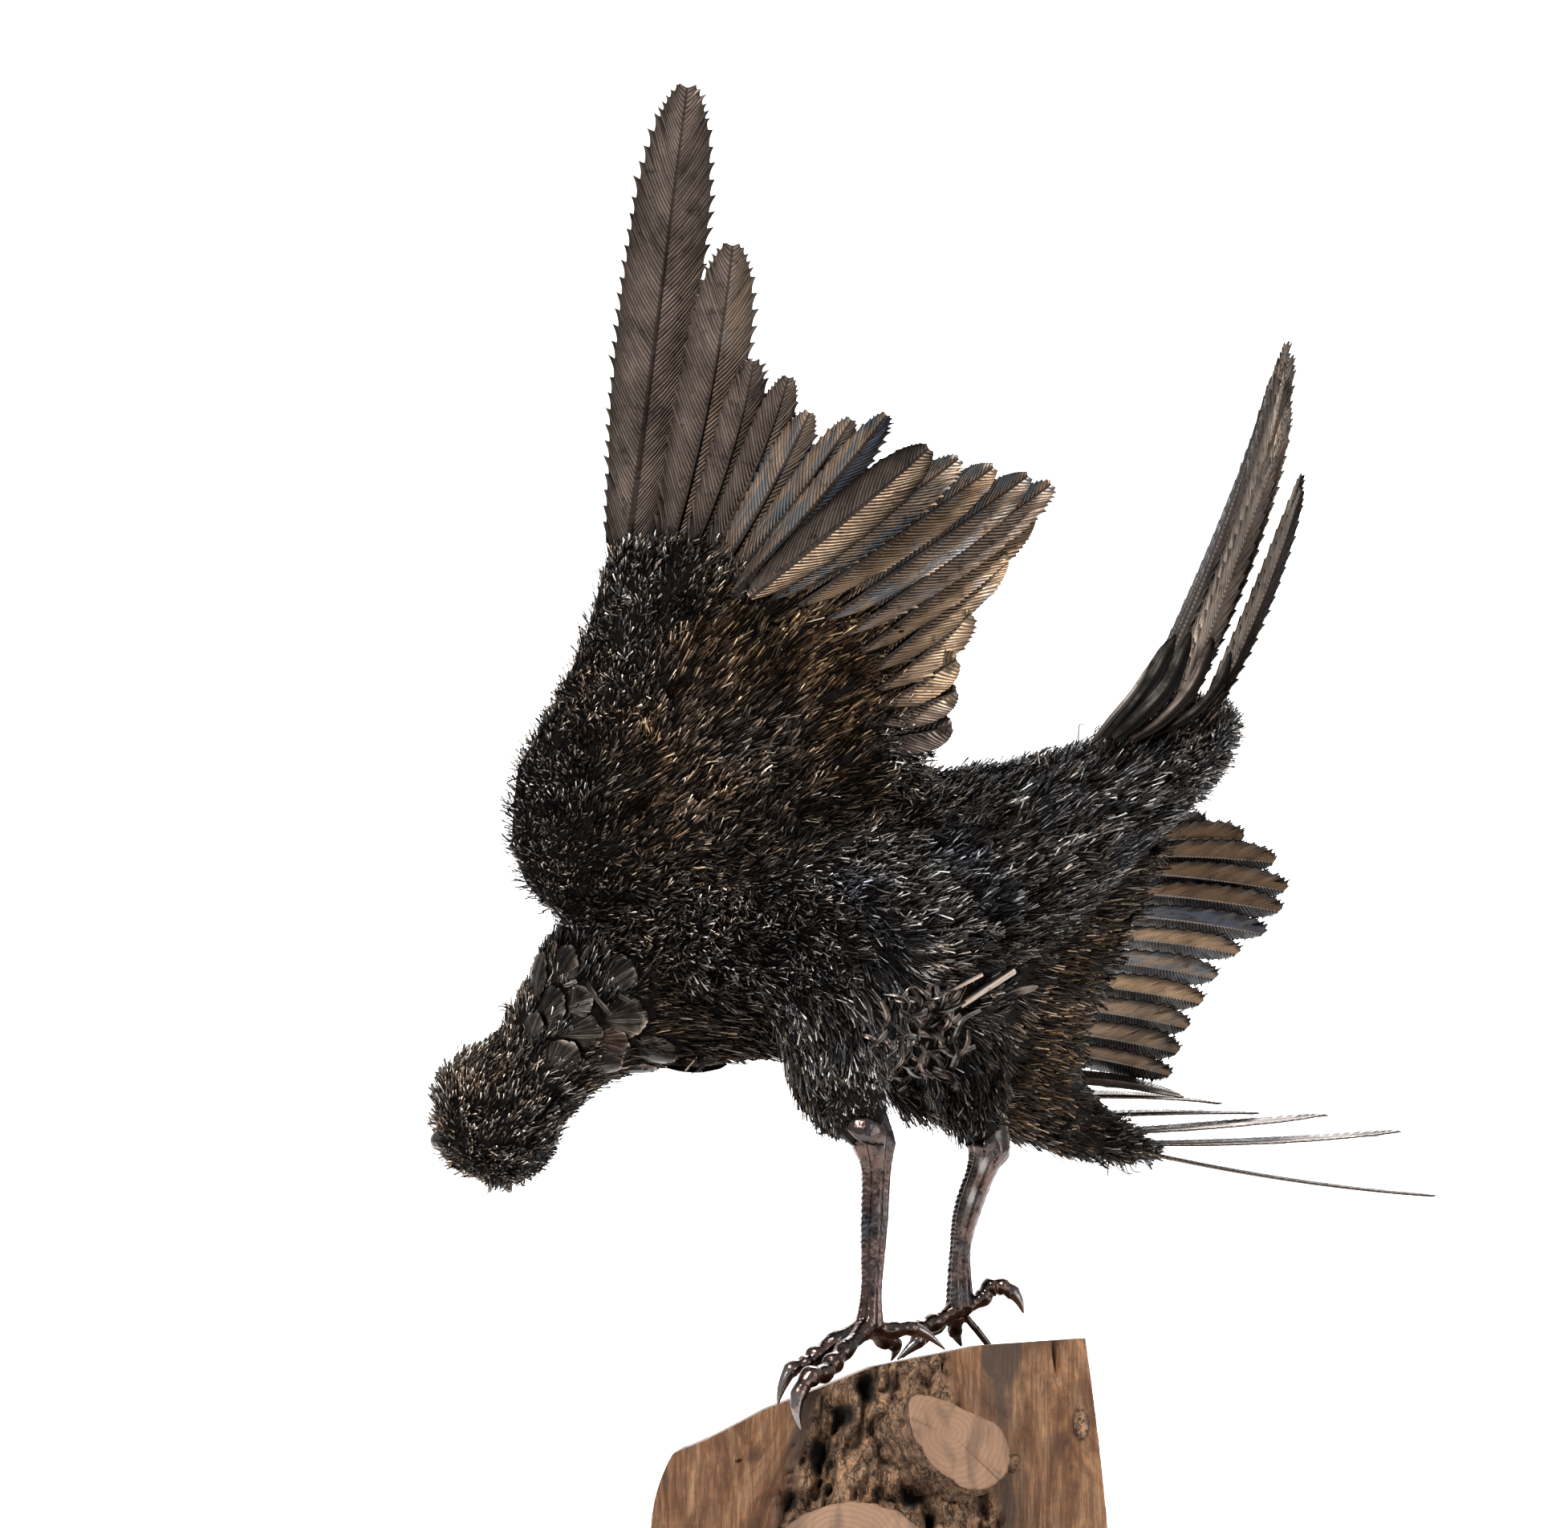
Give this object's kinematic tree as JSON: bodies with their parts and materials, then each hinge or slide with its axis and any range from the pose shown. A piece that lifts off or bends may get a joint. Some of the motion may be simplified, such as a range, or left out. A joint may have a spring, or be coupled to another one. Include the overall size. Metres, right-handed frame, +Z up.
{
  "type": "falcon sculpture on a trunk plinth",
  "caption": "Life-size bird of prey in cut and chopped dark steel, wings half open and tail raised, standing on a sawn block of trunk.",
  "frame": {"origin": "middle of the plinth's flat underside", "axes": "+X across the work, from the head towards the tail; +Y away from the side it is seen from; +Z up"},
  "size_m": [0.4595, 0.3718, 0.6773],
  "materials": {
    "chopped_steel": "bristling plumage of short steel slivers, oxidised dark brown and blue-black",
    "feather_sheet": "engraved sheet steel, heat-tinted grey-brown with bronze and blue oxide",
    "forged_leg": "forged and polished, dark brown-black with bright claws",
    "beak_steel": "satin grey-brown",
    "eye_bead": "glossy black bead",
    "trunk_wood": "sawn and sanded trunk, unvarnished, with rough bark and sawn branch ends"
  },
  "bodies": {
    "root": {"plumed_body": "chopped_steel", "beak": "beak_steel", "left_eye": "eye_bead", "right_eye": "eye_bead", "near_leg": "forged_leg", "far_leg": "forged_leg", "plinth": "trunk_wood", "near_wing_feather_01": "feather_sheet", "near_wing_feather_02": "feather_sheet", "near_wing_feather_03": "feather_sheet", "near_wing_feather_04": "feather_sheet", "near_wing_feather_05": "feather_sheet", "near_wing_feather_06": "feather_sheet", "near_wing_feather_07": "feather_sheet", "near_wing_feather_08": "feather_sheet", "near_wing_feather_09": "feather_sheet", "near_wing_feather_10": "feather_sheet", "near_wing_feather_11": "feather_sheet", "near_wing_feather_12": "feather_sheet", "near_wing_feather_13": "feather_sheet", "near_wing_feather_14": "feather_sheet", "near_wing_feather_15": "feather_sheet", "near_wing_feather_16": "feather_sheet", "near_wing_feather_17": "feather_sheet", "near_wing_feather_18": "feather_sheet", "far_wing_feather_01": "feather_sheet", "far_wing_feather_02": "feather_sheet", "far_wing_feather_03": "feather_sheet", "far_wing_feather_04": "feather_sheet", "far_wing_feather_05": "feather_sheet", "far_wing_feather_06": "feather_sheet", "far_wing_feather_07": "feather_sheet", "far_wing_feather_08": "feather_sheet", "far_wing_feather_09": "feather_sheet", "far_wing_feather_10": "feather_sheet", "far_wing_feather_11": "feather_sheet", "far_wing_feather_12": "feather_sheet", "far_wing_feather_13": "feather_sheet", "far_wing_feather_14": "feather_sheet", "far_wing_feather_15": "feather_sheet", "far_wing_feather_16": "feather_sheet", "far_wing_feather_17": "feather_sheet", "far_wing_feather_18": "feather_sheet", "tail_feather_01": "feather_sheet", "tail_feather_02": "feather_sheet", "tail_feather_03": "feather_sheet", "tail_feather_04": "feather_sheet", "tail_feather_05": "feather_sheet", "tail_feather_06": "feather_sheet", "tail_feather_07": "feather_sheet", "tail_feather_08": "feather_sheet", "tail_feather_09": "feather_sheet", "tail_feather_10": "feather_sheet", "tail_feather_11": "feather_sheet", "tail_feather_12": "feather_sheet"}
  },
  "joints": []
}
